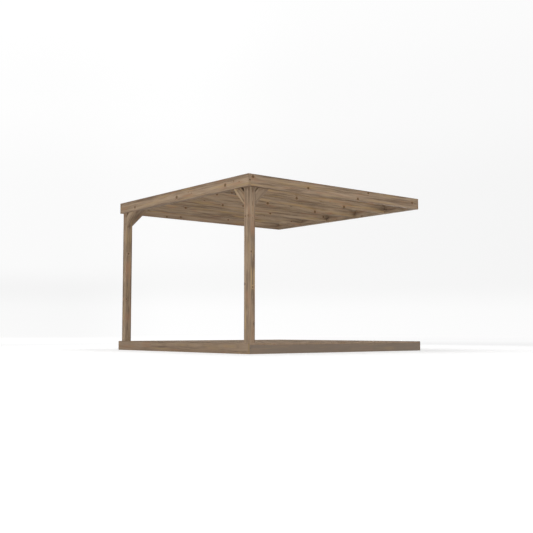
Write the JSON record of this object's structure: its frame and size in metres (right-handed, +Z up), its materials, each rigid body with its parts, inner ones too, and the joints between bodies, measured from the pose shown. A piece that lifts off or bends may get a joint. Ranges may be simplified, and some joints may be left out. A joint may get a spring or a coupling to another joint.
{
  "type": "timber veranda",
  "caption": "Open lean-to veranda of planed timber: a boarded deck, front posts with corner braces and a flat joisted roof frame fixed to a wall.",
  "frame": {"origin": "middle of the deck's underside, on the ground", "axes": "+Z up, +Y towards the wall that the back beam is fixed to, +X to the right of someone who stands on the deck and looks at that wall"},
  "size_m": [4, 4, 2.8],
  "materials": {
    "deck_timber": "planed softwood, weathered grey brown, with small dark knots",
    "frame_timber": "planed softwood, treated mid brown, with small dark knots",
    "roof_timber": "planed roof boards and joists, treated mid brown"
  },
  "bodies": {
    "root": {"deck_board_front": "deck_timber", "deck_board_back": "deck_timber", "deck_board_left": "deck_timber", "deck_board_right": "deck_timber", "floor_rim_front": "deck_timber", "floor_rim_back": "deck_timber", "floor_joist_1": "deck_timber", "floor_joist_2": "deck_timber", "floor_joist_3": "deck_timber", "floor_joist_4": "deck_timber", "floor_joist_5": "deck_timber", "floor_joist_6": "deck_timber", "floor_joist_7": "deck_timber", "floor_joist_8": "deck_timber", "floor_joist_9": "deck_timber", "floor_boards": "deck_timber", "post_left": "frame_timber", "post_right": "frame_timber", "roof_beam_front": "frame_timber", "roof_beam_back": "frame_timber", "roof_beam_left": "frame_timber", "roof_beam_right": "frame_timber", "brace_front_left": "frame_timber", "brace_front_right": "frame_timber", "brace_side_left": "frame_timber", "brace_side_right": "frame_timber", "roof_joist_1": "roof_timber", "roof_joist_2": "roof_timber", "roof_joist_3": "roof_timber", "roof_joist_4": "roof_timber", "roof_bearer_front": "roof_timber", "roof_bearer_back": "roof_timber", "roof_boards": "roof_timber"}
  },
  "joints": []
}
